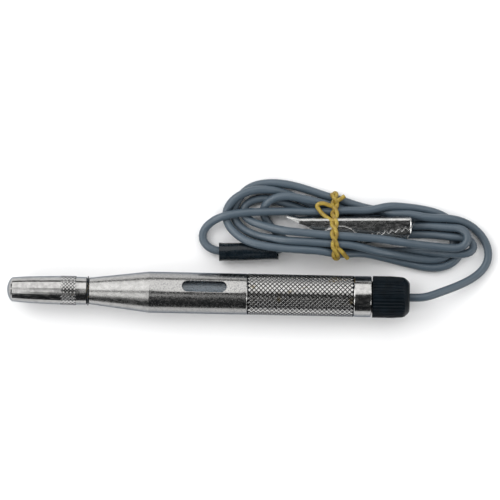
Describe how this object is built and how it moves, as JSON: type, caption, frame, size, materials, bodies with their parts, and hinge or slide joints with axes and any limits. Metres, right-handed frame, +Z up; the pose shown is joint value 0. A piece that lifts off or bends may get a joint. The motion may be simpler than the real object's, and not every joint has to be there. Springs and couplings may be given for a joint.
{
  "type": "circuit test light",
  "caption": "Pen-shaped circuit test light with a lamp window, screw cap over the needle, ribbed end cap, and a thin lead folded into a banded hank with a crocodile clip.",
  "frame": {"origin": "centre of the pen's footprint on the ground plane, without the lead and what is on it", "axes": "+X from the nose cap to the end cap, +Y from the pen to the folded lead, +Z up"},
  "size_m": [0.1531, 0.0431, 0.0132],
  "materials": {
    "nickel_plate": "bright nickel plate",
    "satin_nickel": "satin nickel plate with a diamond-knurled grip",
    "brass": "turned brass",
    "spring_steel": "drawn steel wire",
    "copper": "bare copper strands",
    "tungsten": "fine wire",
    "dark_ring": "thin dark ring",
    "black_plastic": "moulded, ribbed",
    "white_plastic": "moulded tube",
    "fibre": "pressed fibre",
    "clear_plastic": "clear tube",
    "lamp_glass": "clear glass",
    "grey_lead": "smooth blue-grey flexible sheath",
    "black_sleeve": "glossy soft sleeve",
    "mustard_rubber": "mustard-yellow rubber"
  },
  "bodies": {
    "tester": {"barrel": "satin_nickel", "probe_collet": "brass", "probe_needle": "spring_steel", "front_contact": "brass", "window_tube": "clear_plastic", "lamp_front_cap": "nickel_plate", "lamp_glass": "lamp_glass", "lamp_filament": "tungsten", "lamp_rear_cap": "nickel_plate", "contact_spring": "spring_steel", "rear_insulator": "white_plastic", "cord_terminal": "brass", "cord_collar": "spring_steel", "cord_lead": "grey_lead", "cord_hank": "grey_lead", "cord_tail": "grey_lead", "tail_conductor": "copper", "clip_sleeve": "black_sleeve", "rubber_band": "mustard_rubber", "clip_lower_jaw": "nickel_plate", "clip_pin": "nickel_plate", "clip_spring": "spring_steel"},
    "nose_washer": {"nose_washer": "dark_ring"},
    "nose_cap": {"nose_cap": "nickel_plate"},
    "cap_washer": {"cap_washer": "fibre"},
    "end_cap": {"end_cap": "black_plastic"},
    "plunger": {"contact_plunger": "brass"},
    "clip_jaw": {"clip_upper_jaw": "nickel_plate"}
  },
  "joints": [
    {"name": "nose_cap_travel", "type": "slide", "parent": "tester", "child": "nose_washer", "axis": [-1, 0, 0], "range_m": [0, 0.0235]},
    {"name": "nose_cap_turn", "type": "hinge", "parent": "nose_washer", "child": "nose_cap", "pos_m": [-0.05, 0, 0.0066], "axis": [-1, 0, 0], "range_deg": [0, 1805]},
    {"name": "end_cap_travel", "type": "slide", "parent": "tester", "child": "cap_washer", "axis": [1, 0, 0], "range_m": [0, 0.005]},
    {"name": "end_cap_turn", "type": "hinge", "parent": "cap_washer", "child": "end_cap", "pos_m": [0.058, 0, 0.0066], "axis": [1, 0, 0], "range_deg": [0, 1805]},
    {"name": "contact_press", "type": "slide", "parent": "tester", "child": "plunger", "axis": [1, 0, 0], "range_m": [0, 0.0015], "stiffness_N_per_m": 100, "deforming": ["contact_spring"]},
    {"name": "clip_jaw_open", "type": "hinge", "parent": "tester", "child": "clip_jaw", "pos_m": [0.041, 0.0183, 0.0048], "axis": [0.0063, -0.2587, 0.9659], "range_deg": [0, 20], "stiffness_Nm_per_rad": 0.01, "deforming": ["clip_spring"]}
  ],
  "couplings": [
    {"joint": "nose_cap_turn", "follows": "nose_cap_travel", "rad_per_m": 1336.8},
    {"joint": "end_cap_turn", "follows": "end_cap_travel", "rad_per_m": 6283.2}
  ]
}
